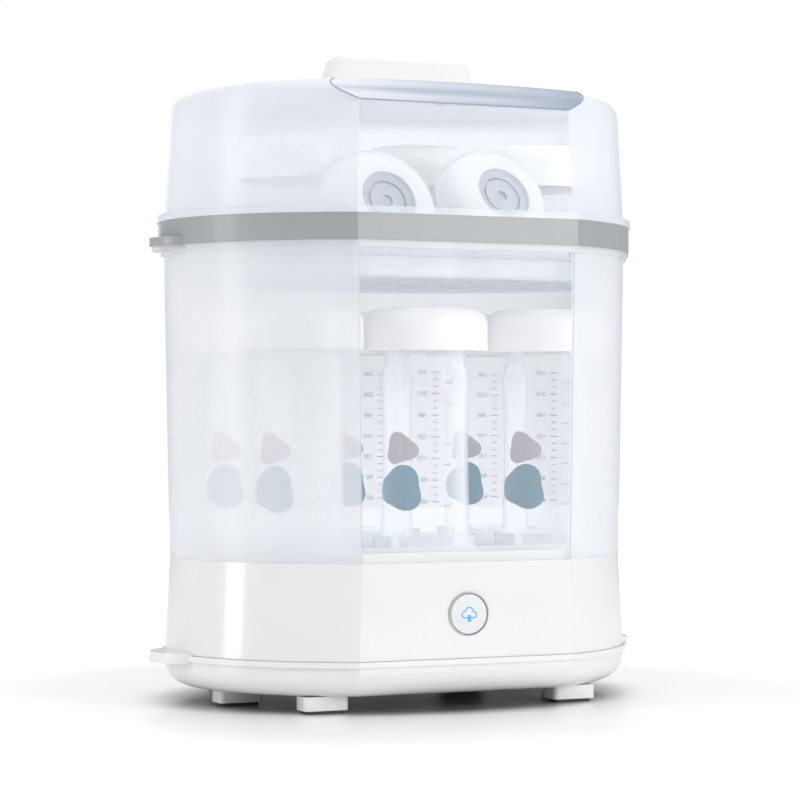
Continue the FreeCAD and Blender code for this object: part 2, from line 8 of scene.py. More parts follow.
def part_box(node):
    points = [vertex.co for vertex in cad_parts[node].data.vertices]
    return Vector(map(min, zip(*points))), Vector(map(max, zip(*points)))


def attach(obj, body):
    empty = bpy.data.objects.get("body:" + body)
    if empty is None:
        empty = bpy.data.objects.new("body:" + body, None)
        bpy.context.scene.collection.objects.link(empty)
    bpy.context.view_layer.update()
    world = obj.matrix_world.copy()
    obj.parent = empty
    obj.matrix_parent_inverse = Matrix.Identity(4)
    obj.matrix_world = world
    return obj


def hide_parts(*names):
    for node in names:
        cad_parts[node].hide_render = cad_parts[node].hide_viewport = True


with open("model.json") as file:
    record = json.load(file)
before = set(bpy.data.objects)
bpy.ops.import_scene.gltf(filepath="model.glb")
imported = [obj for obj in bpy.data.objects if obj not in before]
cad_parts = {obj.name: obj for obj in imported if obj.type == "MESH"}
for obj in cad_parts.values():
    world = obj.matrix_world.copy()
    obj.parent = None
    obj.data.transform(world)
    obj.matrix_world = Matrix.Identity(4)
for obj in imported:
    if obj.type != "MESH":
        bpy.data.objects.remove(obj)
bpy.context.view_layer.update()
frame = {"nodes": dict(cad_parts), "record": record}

mm = 0.001
nodeBody = {name: body for body, names in frame["record"]["behaviour"]["bodies"].items() for name in names}
nodeSlot = {row["node"]: row["material_slot"] for row in frame["record"]["subparts"]}
print("frame loaded:", len(frame["nodes"]), "nodes")


# camera, floor and lights

cameraSettings = {"turn": 24.0, "distance": 1.584, "height": 0.1673, "axisY": -0.0071,
                  "lens": 117.6, "sensor": 36.0, "nearest": 0.05, "shiftX": 0.0045, "shiftY": 0.0231}

lightSettings = {
    "leftStrip": {"place": (-1.15, 0.02, 0.40), "aim": (0.0, 0.0, 0.20), "size": (0.28, 1.2), "power": 4.8},
    "topBox": {"place": (0.10, -0.15, 1.35), "aim": (0.0, 0.0, 0.15), "size": (1.0, 1.0), "power": 4.6},
    "frontBox": {"place": (0.95, -1.70, 0.60), "aim": (0.0, 0.0, 0.16), "size": (0.8, 0.8), "power": 14.0},
    "backBox": {"place": (0.35, 1.10, 0.75), "aim": (0.0, 0.0, 0.22), "size": (1.2, 0.9), "power": 4.5},
}

worldSettings = {"seen": 1.0, "low": 0.32, "high": 0.72, "lowFrom": -0.2, "highFrom": 0.8}

# the paper's painted shadow runs out from an ellipse under the base, and its glow out from the middle, in
# metres
floorSettings = {"half": 3.0, "roughness": 0.34, "albedo": 0.9, "paintedShadowTone": 0.22,
                 "footX": 0.140, "footY": 0.112, "paintedShadowStart": 0.82, "paintedShadowEnd": 1.16,
                 "glowStart": 0.20, "glowEnd": 0.55}


def addMath(nodes, links, operation, first, second=None, clamp=False):
    node = nodes.new("ShaderNodeMath")
    node.operation = operation
    node.use_clamp = clamp
    for socket, value in zip(node.inputs, (first, second)):
        if isinstance(value, (int, float)):
            socket.default_value = value
        elif value is not None:
            links.new(value, socket)
    return node.outputs[0]


def makeCamera(s):
    turn = math.radians(s["turn"])
    data = bpy.data.cameras.new("studioCamera")
    data.lens = s["lens"]
    data.sensor_width = s["sensor"]
    data.shift_x = s["shiftX"]
    data.shift_y = s["shiftY"]
    data.clip_start = s["nearest"]
    camera = bpy.data.objects.new("studioCamera", data)
    away = s["distance"]
    camera.location = (-away * math.sin(turn), s["axisY"] - away * math.cos(turn), s["height"])
    camera.rotation_euler = (math.pi / 2, 0.0, -turn)
    bpy.context.scene.collection.objects.link(camera)
    bpy.context.scene.camera = camera


def makeLight(name, s):
    data = bpy.data.lights.new(name, "AREA")
    data.shape = "RECTANGLE"
    data.size, data.size_y = s["size"]
    data.energy = s["power"]
    lamp = bpy.data.objects.new(name, data)
    lamp.location = s["place"]
    lamp.rotation_euler = (Vector(s["aim"]) - Vector(s["place"])).to_track_quat("-Z", "Y").to_euler()
    bpy.context.scene.collection.objects.link(lamp)


def makeWorld(s):
    # what is seen is plain white, what lights the object is darker towards the floor
    world = bpy.data.worlds.new("studioWorld")
    bpy.context.scene.world = world
    world.use_nodes = True
    nodes, links = world.node_tree.nodes, world.node_tree.links
    back = nodes["Background"]
    back.inputs["Color"].default_value = (1.0, 1.0, 1.0, 1.0)
    coordinates = nodes.new("ShaderNodeTexCoord")
    split = nodes.new("ShaderNodeSeparateXYZ")
    slope = nodes.new("ShaderNodeMapRange")
    slope.inputs["From Min"].default_value = s["lowFrom"]
    slope.inputs["From Max"].default_value = s["highFrom"]
    slope.inputs["To Min"].default_value = s["low"]
    slope.inputs["To Max"].default_value = s["high"]
    path = nodes.new("ShaderNodeLightPath")
    pick = nodes.new("ShaderNodeMix")
    pick.data_type = "FLOAT"
    pick.inputs["B"].default_value = s["seen"]
    links.new(coordinates.outputs["Generated"], split.inputs[0])
    links.new(split.outputs["Z"], slope.inputs["Value"])
    links.new(path.outputs["Is Camera Ray"], pick.inputs["Factor"])
    links.new(slope.outputs["Result"], pick.inputs["A"])
    links.new(pick.outputs["Result"], back.inputs["Strength"])


def makeFloor(s):
    mesh = bpy.data.meshes.new("studioFloor")
    h = s["half"]
    mesh.from_pydata([(-h, -h, 0), (h, -h, 0), (h, h, 0), (-h, h, 0)], [], [(0, 1, 2, 3)])
    floor = bpy.data.objects.new("studioFloor", mesh)
    bpy.context.scene.collection.objects.link(floor)
    material = bpy.data.materials.new("floorPaper")
    material.use_nodes = True
    shader = material.node_tree.nodes["Principled BSDF"]
    shader.inputs["Roughness"].default_value = s["roughness"]
    shader.inputs["Emission Color"].default_value = (1, 1, 1, 1)
    nodes, links = material.node_tree.nodes, material.node_tree.links
    place = nodes.new("ShaderNodeTexCoord").outputs["Object"]
    # painted shadow: the paper's colour is darkened in an ellipse under the base, standing in for the
    # contact shadow there
    footprint = nodes.new("ShaderNodeMapping")
    footprint.inputs["Scale"].default_value = (1.0 / s["footX"], 1.0 / s["footY"], 1.0)
    links.new(place, footprint.inputs["Vector"])
    inside = nodes.new("ShaderNodeVectorMath")
    inside.operation = "LENGTH"
    links.new(footprint.outputs[0], inside.inputs[0])
    paintedShadow = nodes.new("ShaderNodeMapRange")
    paintedShadow.interpolation_type = "SMOOTHSTEP"
    paintedShadow.inputs["From Min"].default_value = s["paintedShadowStart"]
    paintedShadow.inputs["From Max"].default_value = s["paintedShadowEnd"]
    paintedShadow.inputs["To Min"].default_value = s["paintedShadowTone"]
    paintedShadow.inputs["To Max"].default_value = s["albedo"]
    links.new(inside.outputs["Value"], paintedShadow.inputs["Value"])
    links.new(paintedShadow.outputs["Result"], shader.inputs["Base Color"])
    # away from the object the paper fades into the white behind it
    reach = nodes.new("ShaderNodeVectorMath")
    reach.operation = "LENGTH"
    links.new(place, reach.inputs[0])
    fade = nodes.new("ShaderNodeMapRange")
    fade.interpolation_type = "SMOOTHSTEP"
    fade.inputs["From Min"].default_value = s["glowStart"]
    fade.inputs["From Max"].default_value = s["glowEnd"]
    links.new(reach.outputs["Value"], fade.inputs["Value"])
    path = nodes.new("ShaderNodeLightPath")
    seen = addMath(nodes, links, "MULTIPLY", fade.outputs["Result"], path.outputs["Is Camera Ray"])
    links.new(seen, shader.inputs["Emission Strength"])
    mesh.materials.append(material)


makeCamera(cameraSettings)
for lightName, lightRow in lightSettings.items():
    makeLight(lightName, lightRow)
makeWorld(worldSettings)
makeFloor(floorSettings)
bpy.context.scene.view_settings.view_transform = "Standard"
bpy.context.scene.cycles.transparent_max_bounces = 24
print("studio ready")


# shader groups shared by the finishes

def newGroup(name, inputs, outputs):
    group = bpy.data.node_groups.new(name, "ShaderNodeTree")
    for label, kind, value in inputs:
        socket = group.interface.new_socket(name=label, in_out="INPUT", socket_type=kind)
        if value is not None:
            socket.default_value = value
    for label, kind in outputs:
        group.interface.new_socket(name=label, in_out="OUTPUT", socket_type=kind)
    start = group.nodes.new("NodeGroupInput")
    end = group.nodes.new("NodeGroupOutput")
    return group, group.nodes, group.links, start.outputs, end.inputs


def addNoise(nodes, links, vector, scale, detail=3.0, roughness=0.5):
    node = nodes.new("ShaderNodeTexNoise")
    node.inputs["Detail"].default_value = detail
    node.inputs["Roughness"].default_value = roughness
    links.new(vector, node.inputs["Vector"])
    if isinstance(scale, (int, float)):
        node.inputs["Scale"].default_value = scale
    else:
        links.new(scale, node.inputs["Scale"])
    return node.outputs[0]


def addRange(nodes, links, value, low, high, toLow, toHigh):
    node = nodes.new("ShaderNodeMapRange")
    links.new(value, node.inputs["Value"])
    for label, number in (("From Min", low), ("From Max", high), ("To Min", toLow), ("To Max", toHigh)):
        if isinstance(number, (int, float)):
            node.inputs[label].default_value = number
        else:
            links.new(number, node.inputs[label])
    return node.outputs["Result"]


def addBlend(nodes, links, factor, first, second):
    # a mix node keeps its two colours in sockets 6 and 7 and gives the mixed one from socket 2
    node = nodes.new("ShaderNodeMix")
    node.data_type = "RGBA"
    links.new(factor, node.inputs[0])
    for socket, colour in ((node.inputs[6], first), (node.inputs[7], second)):
        if isinstance(colour, tuple):
            socket.default_value = (*colour, 1)
        else:
            links.new(colour, socket)
    return node.outputs[2]


def addStretch(nodes, links, vector, scale):
    node = nodes.new("ShaderNodeMapping")
    node.inputs["Scale"].default_value = scale
    links.new(vector, node.inputs["Vector"])
    return node.outputs[0]


grainSettings = {"scale": 900.0, "ripple": 0.35, "rippleScale": 22.0}
handlingSettings = {"smudge": 30.0, "rub": (260.0, 260.0, 18.0), "rubShare": 0.3, "from": 0.3, "to": 1.0}
driftSettings = {"scale": 9.0, "from": 0.35, "to": 0.65}


def buildMouldedGrain(s):
    # the fine skin that a mould leaves: small pits on a slow ripple
    group, nodes, links, i, o = newGroup("mouldedGrain", [
        ("Vector", "NodeSocketVector", None), ("Scale", "NodeSocketFloat", s["scale"]),
        ("Ripple", "NodeSocketFloat", s["ripple"])], [("Height", "NodeSocketFloat")])
    fine = addNoise(nodes, links, i["Vector"], i["Scale"], 2.0)
    slow = addNoise(nodes, links, i["Vector"], s["rippleScale"], 1.0)
    ripple = addMath(nodes, links, "MULTIPLY", slow, i["Ripple"])
    links.new(addMath(nodes, links, "ADD", fine, ripple), o["Height"])
    return group


def buildHandling(s):
    # faint smudges and hairline rubs, as a roughness
    group, nodes, links, i, o = newGroup("handling", [
        ("Vector", "NodeSocketVector", None), ("Smudge", "NodeSocketFloat", s["smudge"]),
        ("Low", "NodeSocketFloat", 0.2), ("High", "NodeSocketFloat", 0.3)],
        [("Roughness", "NodeSocketFloat")])
    smudge = addNoise(nodes, links, i["Vector"], i["Smudge"], 5.0, 0.6)
    rub = addNoise(nodes, links, addStretch(nodes, links, i["Vector"], s["rub"]), 1.0, 2.0)
    both = addMath(nodes, links, "ADD", smudge, addMath(nodes, links, "MULTIPLY", rub, s["rubShare"]))
    links.new(addRange(nodes, links, both, s["from"], s["to"], i["Low"], i["High"]), o["Roughness"])
    return group


def buildTintDrift(s):
    # two close colours that drift into each other
    group, nodes, links, i, o = newGroup("tintDrift", [
        ("Vector", "NodeSocketVector", None), ("First", "NodeSocketColor", (1, 1, 1, 1)),
        ("Second", "NodeSocketColor", (0.9, 0.9, 0.9, 1)), ("Scale", "NodeSocketFloat", s["scale"])],
        [("Color", "NodeSocketColor")])
    drift = addNoise(nodes, links, i["Vector"], i["Scale"], 3.0)
    share = addRange(nodes, links, drift, s["from"], s["to"], 0.0, 1.0)
    links.new(addBlend(nodes, links, share, i["First"], i["Second"]), o["Color"])
    return group


mouldedGrain = buildMouldedGrain(grainSettings)
handling = buildHandling(handlingSettings)
tintDrift = buildTintDrift(driftSettings)


# finishes: each row is one material

opaqueFinishes = {
    "base_white": {"first": (0.86, 0.86, 0.85), "second": (0.83, 0.835, 0.835),
                   "low": 0.16, "high": 0.24, "grain": 1400, "depth": 0.02, "coat": 0.35},
    "foot_rubber": {"first": (0.06, 0.06, 0.065), "second": (0.085, 0.085, 0.09),
                    "low": 0.6, "high": 0.85, "grain": 700, "depth": 0.25, "coat": 0.0},
    "screw_steel": {"first": (0.62, 0.63, 0.64), "second": (0.5, 0.5, 0.52),
                    "low": 0.22, "high": 0.45, "grain": 900, "depth": 0.1, "coat": 0.0, "metal": 1.0},
    "plate_steel": {"first": (0.72, 0.73, 0.74), "second": (0.62, 0.63, 0.65),
                    "low": 0.18, "high": 0.36, "grain": 1100, "depth": 0.08, "coat": 0.0, "metal": 1.0},
    "seal_silicone": {"first": (0.8, 0.81, 0.82), "second": (0.74, 0.75, 0.77),
                      "low": 0.45, "high": 0.65, "grain": 600, "depth": 0.15, "coat": 0.0},
    "element_metal": {"first": (0.6, 0.6, 0.61), "second": (0.42, 0.41, 0.42),
                      "low": 0.35, "high": 0.6, "grain": 500, "depth": 0.3, "coat": 0.0, "metal": 1.0},
    "board_green": {"first": (0.02, 0.16, 0.07), "second": (0.03, 0.2, 0.1),
                    "low": 0.3, "high": 0.5, "grain": 1300, "depth": 0.15, "coat": 0.2},
    "component_black": {"first": (0.03, 0.03, 0.032), "second": (0.05, 0.05, 0.055),
                        "low": 0.4, "high": 0.6, "grain": 900, "depth": 0.2, "coat": 0.0},
    "terminal_white": {"first": (0.78, 0.78, 0.74), "second": (0.7, 0.7, 0.66),
                       "low": 0.4, "high": 0.6, "grain": 800, "depth": 0.15, "coat": 0.0},
    "wire_blue": {"first": (0.03, 0.09, 0.42), "second": (0.04, 0.12, 0.5),
                  "low": 0.35, "high": 0.5, "grain": 900, "depth": 0.1, "coat": 0.0},
    "gland_grey": {"first": (0.6, 0.61, 0.62), "second": (0.54, 0.55, 0.57),
                   "low": 0.5, "high": 0.7, "grain": 700, "depth": 0.2, "coat": 0.0},
    "trim_silver": {"first": (0.42, 0.44, 0.46), "second": (0.36, 0.38, 0.4),
                    "low": 0.25, "high": 0.4, "grain": 900, "depth": 0.05, "coat": 0.2, "metal": 0.6},
    "button_white": {"first": (0.80, 0.82, 0.84), "second": (0.77, 0.79, 0.82),
                     "low": 0.3, "high": 0.42, "grain": 1200, "depth": 0.04, "coat": 0.15},
    "icon_blue": {"first": (0.06, 0.36, 0.68), "second": (0.05, 0.3, 0.62),
                  "low": 0.3, "high": 0.4, "grain": 1200, "depth": 0.04, "coat": 0.1, "glow": 0.25},
    # painted light: the caps glow faintly to look brighter
    "cap_white": {"first": (0.93, 0.935, 0.94), "second": (0.91, 0.915, 0.92), "glow": 0.06,
                  "low": 0.22, "high": 0.36, "grain": 1200, "depth": 0.04, "coat": 0.2},
    "rim_grey": {"first": (0.365, 0.385, 0.40), "second": (0.34, 0.36, 0.378),
                 "low": 0.32, "high": 0.44, "grain": 1300, "depth": 0.05, "coat": 0.12},
    "pebbleBlue": {"first": (0.21, 0.36, 0.45), "second": (0.19, 0.33, 0.42),
                   "low": 0.35, "high": 0.5, "grain": 1600, "depth": 0.05, "coat": 0.1},
    "pebbleGrey": {"first": (0.53, 0.50, 0.53), "second": (0.49, 0.465, 0.5),
                   "low": 0.35, "high": 0.5, "grain": 1600, "depth": 0.05, "coat": 0.1},
    "seamShadow": {"first": (0.34, 0.345, 0.36), "second": (0.40, 0.405, 0.42),
                   "low": 0.5, "high": 0.7, "grain": 900, "depth": 0.05, "coat": 0.0},
    "scaleInk": {"first": (0.16, 0.17, 0.19), "second": (0.22, 0.23, 0.25),
                 "low": 0.4, "high": 0.6, "grain": 1600, "depth": 0.05, "coat": 0.0},
    "handle_white": {"first": (0.88, 0.88, 0.87), "second": (0.85, 0.855, 0.85),
                     "low": 0.18, "high": 0.28, "grain": 1300, "depth": 0.03, "coat": 0.3},
}

# "facing" and "edge" are the shares of light stopped head-on and past "bend"; "rim" is a painted edge shade,
# the darker colour that comes in past "rimFrom" towards the silhouette, standing in for the darkening at
# grazing angles; "shade" is the share of its shadow that the piece keeps
clearFinishes = {
    "led_clear": {"first": (0.85, 0.92, 1.0), "second": (0.8, 0.88, 0.98), "rim": (0.6, 0.66, 0.75),
                  "facing": 0.4, "edge": 0.8, "bend": 0.8, "rimFrom": 0.6, "shade": 0.5,
                  "low": 0.05, "high": 0.1, "grain": 900, "depth": 0.02},
    "rack_clear": {"first": (0.86, 0.89, 0.93), "second": (0.92, 0.93, 0.96), "rim": (0.52, 0.57, 0.66),
                   "facing": 0.30, "edge": 0.75, "bend": 0.8, "rimFrom": 0.6, "shade": 0.15,
                   "low": 0.08, "high": 0.16, "grain": 900, "depth": 0.02},
    # painted light: the bottles glow faintly, standing in for light scattered in the plastic
    "bottle_clear": {"first": (0.90, 0.92, 0.95), "second": (0.95, 0.96, 0.98), "rim": (0.26, 0.31, 0.39),
                     "facing": 0.04, "edge": 0.46, "bend": 0.66, "rimFrom": 0.62, "shade": 0.12,
                     "low": 0.03, "high": 0.08, "grain": 700, "depth": 0.01, "glow": 0.13},
    "tray_clear": {"first": (0.70, 0.735, 0.79), "second": (0.75, 0.78, 0.83), "rim": (0.55, 0.60, 0.69),
                   "facing": 0.34, "edge": 0.7, "bend": 0.8, "rimFrom": 0.6, "shade": 0.15,
                   "low": 0.17, "high": 0.19, "grain": 900, "depth": 0.01},
    "collar_white": {"first": (0.93, 0.94, 0.96), "second": (0.96, 0.965, 0.98), "rim": (0.66, 0.70, 0.77),
                     "facing": 0.78, "edge": 0.95, "bend": 0.8, "rimFrom": 0.55, "shade": 0.4,
                     "low": 0.12, "high": 0.22, "grain": 900, "depth": 0.02},
    "disc_clear": {"first": (0.60, 0.64, 0.70), "second": (0.68, 0.72, 0.78), "rim": (0.42, 0.47, 0.56),
                   "facing": 0.55, "edge": 0.85, "bend": 0.8, "rimFrom": 0.4, "shade": 0.3,
                   "low": 0.1, "high": 0.18, "grain": 900, "depth": 0.02},
    # painted light: the two frosted shells glow faintly, standing in for light scattered through them
    "shell_frosted": {"first": (0.80, 0.815, 0.845), "second": (0.775, 0.795, 0.83),
                      "rim": (0.66, 0.69, 0.74), "facing": 0.50, "edge": 0.82, "bend": 0.9,
                      "rimFrom": 0.70, "shade": 0.10,
                      "low": 0.31, "high": 0.33, "grain": 1500, "depth": 0.02, "glow": 0.05},
    "lid_frosted": {"first": (0.77, 0.79, 0.83), "second": (0.75, 0.775, 0.82), "rim": (0.62, 0.66, 0.72),
                    "facing": 0.44, "edge": 0.80, "bend": 0.9, "rimFrom": 0.70, "shade": 0.10,
                    "low": 0.29, "high": 0.31, "grain": 1500, "depth": 0.02, "glow": 0.08},
    "windowClear": {"first": (0.90, 0.92, 0.95), "second": (0.93, 0.94, 0.97), "rim": (0.70, 0.74, 0.80),
                    "facing": 0.04, "edge": 0.35, "bend": 1.0, "rimFrom": 0.6, "shade": 0.05,
                    "low": 0.03, "high": 0.07, "grain": 500, "depth": 0.005},
    # painted shade: dark beads for the lid's creases and the window's upright sides
    "creaseShade": {"first": (0.26, 0.31, 0.42), "second": (0.34, 0.39, 0.50), "rim": (0.3, 0.35, 0.45),
                   "facing": 0.55, "edge": 0.75, "bend": 0.9, "rimFrom": 0.8, "shade": 0.3,
                   "low": 0.1, "high": 0.2, "grain": 500, "depth": 0.01},
    "windowShadeLine": {"first": (0.60, 0.64, 0.70), "second": (0.68, 0.71, 0.76), "rim": (0.5, 0.55, 0.62),
                     "facing": 0.5, "edge": 0.7, "bend": 0.9, "rimFrom": 0.8, "shade": 0.3,
                     "low": 0.1, "high": 0.2, "grain": 500, "depth": 0.01},
    # painted reflection: the brow's colour runs from pale to dark blue-grey across it
    "browPolish": {"first": (0.85, 0.87, 0.91), "second": (0.28, 0.33, 0.43), "rim": (0.4, 0.45, 0.54),
                   "facing": 0.80, "edge": 0.9, "bend": 0.9, "rimFrom": 0.9, "shade": 0.2,
                   "low": 0.04, "high": 0.1, "grain": 500, "depth": 0.005, "reflectionSweep": (-0.13, 0.05)},
}


skinSettings = {"relief": 0.0003, "view": 0.5}
# the long streaks of the brow's painted reflection
reflectionStreakSettings = {"stretch": (7.0, 120.0, 120.0), "middle": 0.5}


def startMaterial(name, s):
    material = bpy.data.materials.new(name)
    material.use_nodes = True
    nodes, links = material.node_tree.nodes, material.node_tree.links
    shader = nodes["Principled BSDF"]
    place = nodes.new("ShaderNodeTexCoord").outputs["Object"]

    tint = nodes.new("ShaderNodeGroup")
    tint.node_tree = tintDrift
    tint.inputs["First"].default_value = (*s["first"], 1)
    tint.inputs["Second"].default_value = (*s["second"], 1)
    links.new(place, tint.inputs["Vector"])
    links.new(tint.outputs["Color"], shader.inputs["Base Color"])

    rough = nodes.new("ShaderNodeGroup")
    rough.node_tree = handling
    rough.inputs["Low"].default_value = s["low"]
    rough.inputs["High"].default_value = s["high"]
    links.new(place, rough.inputs["Vector"])
    links.new(rough.outputs["Roughness"], shader.inputs["Roughness"])

    grain = nodes.new("ShaderNodeGroup")
    grain.node_tree = mouldedGrain
    grain.inputs["Scale"].default_value = s["grain"]
    links.new(place, grain.inputs["Vector"])
    bump = nodes.new("ShaderNodeBump")
    bump.inputs["Strength"].default_value = s["depth"]
    bump.inputs["Distance"].default_value = skinSettings["relief"]
    links.new(grain.outputs["Height"], bump.inputs["Height"])
    links.new(bump.outputs["Normal"], shader.inputs["Normal"])
    return material, nodes, links, shader


def makeOpaque(name, s):
    material, nodes, links, shader = startMaterial(name, s)
    shader.inputs["Coat Weight"].default_value = s["coat"]
    shader.inputs["Metallic"].default_value = s.get("metal", 0.0)
    # the glow is in the finish's own colour; on the caps it is painted light
    if "glow" in s:
        shader.inputs["Emission Color"].default_value = (*s["first"], 1)
        shader.inputs["Emission Strength"].default_value = s["glow"]
    return material


def addPaintedReflection(nodes, links, shader, s):
    # painted reflection: a colour that darkens from one side to the other, broken into long streaks,
    # standing in for the studio seen in the polished brow
    place = nodes.new("ShaderNodeTexCoord").outputs["Object"]
    split = nodes.new("ShaderNodeSeparateXYZ")
    links.new(place, split.inputs[0])
    low, high = s["reflectionSweep"]
    along = addRange(nodes, links, split.outputs["X"], low, high, 0.0, 1.0)
    reflectionStreak = addNoise(nodes, links, addStretch(nodes, links, place, reflectionStreakSettings["stretch"]), 1.0, 1.0)
    wander = addMath(nodes, links, "SUBTRACT", reflectionStreak, reflectionStreakSettings["middle"])
    both = addMath(nodes, links, "ADD", along, wander, clamp=True)
    links.new(addBlend(nodes, links, both, s["first"], s["second"]), shader.inputs["Base Color"])


def makeClear(name, s):
    material, nodes, links, shader = startMaterial(name, s)
    if "reflectionSweep" in s:
        addPaintedReflection(nodes, links, shader, s)
    weight = nodes.new("ShaderNodeLayerWeight")
    weight.inputs["Blend"].default_value = skinSettings["view"]
    aside = weight.outputs["Facing"]
    tint = shader.inputs["Base Color"].links[0].from_socket
    # painted edge shade: towards the silhouette the colour turns to a darker one
    nearEdgeShade = addRange(nodes, links, aside, s["rimFrom"], 1.0, 0.0, 1.0)
    links.new(addBlend(nodes, links, nearEdgeShade, tint, s["rim"]), shader.inputs["Base Color"])
    alpha = addRange(nodes, links, aside, 0.0, s["bend"], s["facing"], s["edge"])
    path = nodes.new("ShaderNodeLightPath")
    dimmer = addMath(nodes, links, "MULTIPLY", path.outputs["Is Shadow Ray"], 1.0 - s["shade"])
    kept = addMath(nodes, links, "SUBTRACT", 1.0, dimmer)
    links.new(addMath(nodes, links, "MULTIPLY", alpha, kept), shader.inputs["Alpha"])
    # painted light: a glow in the finish's own colour stands in for light scattered in the plastic
    shader.inputs["Emission Color"].default_value = (*s["first"], 1)
    shader.inputs["Emission Strength"].default_value = s.get("glow", 0.0)
    return material


finishes = {name: makeOpaque(name, row) for name, row in opaqueFinishes.items()}
finishes.update({name: makeClear(name, row) for name, row in clearFinishes.items()})
for nodeName, node in frame["nodes"].items():
    node.data.materials.clear()
    node.data.materials.append(finishes[nodeSlot[nodeName]])
print("finishes ready:", len(finishes))


# pieces that keep the design's shape and get a clean smooth skin

def link(name, mesh):
    piece = bpy.data.objects.new(name, mesh)
    bpy.context.scene.collection.objects.link(piece)
    return piece


def settle(piece, nodeName):
    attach(piece, nodeBody[nodeName])
    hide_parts(nodeName)
    return piece


meshSettings = {"weld": 0.002 * mm, "sliver": 0.001 * mm, "wireWeld": 0.00001}


def cleanMesh(name, nodeName, sharpAngle):
    bm = bmesh.new()
    bm.from_mesh(frame["nodes"][nodeName].data)
    bmesh.ops.remove_doubles(bm, verts=bm.verts, dist=meshSettings["weld"])
    bmesh.ops.dissolve_degenerate(bm, edges=bm.edges, dist=meshSettings["sliver"])
    mesh = bpy.data.meshes.new(name)
    bm.to_mesh(mesh)
    bm.free()
    for extra in [a.name for a in mesh.attributes if a.name == "custom_normal"]:
        mesh.attributes.remove(mesh.attributes[extra])
    mesh.shade_smooth()
    mesh.set_sharp_from_angle(angle=math.radians(sharpAngle))
    return mesh


def polishedCopy(name, nodeName, sharpAngle):
    mesh = cleanMesh(name, nodeName, sharpAngle)
    mesh.materials.append(finishes[nodeSlot[nodeName]])
    return settle(link(name, mesh), nodeName)


# each piece copies a node, and its edges stay sharp past the angle beside it
polishedPieces = {
    "baseCover": ("lower_base_cover", 24.0), "baseFeet": ("feet", 30.0), "footPads": ("foot_pads", 30.0),
    "baseHousing": ("upper_base_housing", 18.0), "buttonRing": ("button_ring", 30.0),
    "powerButton": ("power_button", 30.0), "buttonIcon": ("button_icon", 30.0),
    "bottleRack": ("bottle_rack", 24.0), "basketRim": ("basket_rim", 18.0),
    "basketTray": ("basket_tray", 18.0), "lidHandle": ("lid_handle", 24.0),
    "cableGland": ("cable_gland", 30.0), "sootherShield": ("soother", 30.0),
    "heatPlate": ("heating_plate", 30.0),
}
bottleCount = 6
repeatedPieces = [
    (bottleCount, {"bottleBody": "bottle_body", "bottleCap": "bottle_cap"}),
    (3, {"potBody": "pot_body", "potCap": "pot_cap"}),
    (2, {"collar": "collar", "collarDisc": "collar_disc"}),
]
repeatedSharp = 30.0
for pieceName, (nodeName, sharp) in polishedPieces.items():
    polishedCopy(pieceName, nodeName, sharp)
for count, kinds in repeatedPieces:
    for number in range(1, count + 1):
        for pieceName, nodeName in kinds.items():
            polishedCopy("%s%d" % (pieceName, number), "%s_%d" % (nodeName, number), repeatedSharp)


# the two shells: frosted, with a clear window in front, and a polished brow above the lid's window

shellSharp = 16.0
shellWindow = {"flat": 0.985, "behind": -0.1, "halfWidth": 0.0685, "low": 0.0, "high": 0.264}
lidWindow = {"flat": 0.985, "behind": -0.09, "halfWidth": 0.0685, "low": 0.2872, "high": 0.35}
browSettings = {"forward": 0.6, "upLow": 0.6, "upHigh": 0.8, "behind": -0.08, "flat": 0.9995}
frosted, window, brow = 0, 1, 2


def clearWindow(piece, s):
    # the flat front of a shell is polished clear, the rest is frosted
    piece.data.materials.append(finishes["windowClear"])
    for face in piece.data.polygons:
        c = face.center
        flat = abs(face.normal.y) > s["flat"] and s["low"] < c.z < s["high"]
        if flat and c.y < s["behind"] and abs(c.x) < s["halfWidth"]:
            face.material_index = window


def polishBrow(piece, s):
    # of the faces that lean back this far, the brow is those that lie as the largest one does
    piece.data.materials.append(finishes["browPolish"])
    leaning = [f for f in piece.data.polygons if f.normal.y < -s["forward"] and f.center.y < s["behind"]]
    leaning = [f for f in leaning if s["upLow"] < f.normal.z < s["upHigh"]]
    plane = max(leaning, key=lambda f: f.area).normal.copy()
    for face in leaning:
        if face.normal.dot(plane) > s["flat"]:
            face.material_index = brow


bodyShell = polishedCopy("bodyShell", "body_shell", shellSharp)
clearWindow(bodyShell, shellWindow)
lidShell = polishedCopy("lidShell", "lid_shell", shellSharp)
clearWindow(lidShell, lidWindow)
polishBrow(lidShell, browSettings)


# fine dark beads along the creases of the shells and the seam of the base: painted shade lines where the
# surfaces step

creaseSettings = {
    "lidShadeLine": {"radius": 0.00045, "low": 0.2872, "high": 1.0, "finish": "creaseShade"},
    "windowShadeLine": {"radius": 0.0003, "low": 0.0850, "high": 1.0, "finish": "windowShadeLine"},
    "baseSeam": {"radius": 0.0003, "low": 0.0304, "high": 0.0306, "finish": "seamShadow"},
}
creaseLimits = {"front": -0.5, "across": 0.97, "upright": 0.9, "wall": 0.3, "sides": 8}


def addSockets(tree, rows):
    ids = {}
    for label, kind in rows:
        socket = tree.interface.new_socket(name=label, in_out="INPUT", socket_type="NodeSocket" + kind)
        ids[label] = socket.identifier
    return ids


def bakeMesh(holder):
    # turns what a node tree or a line of type makes into a plain mesh
    graph = bpy.context.evaluated_depsgraph_get()
    mesh = bpy.data.meshes.new_from_object(holder.evaluated_get(graph), depsgraph=graph)
    bpy.data.objects.remove(holder)
    return mesh


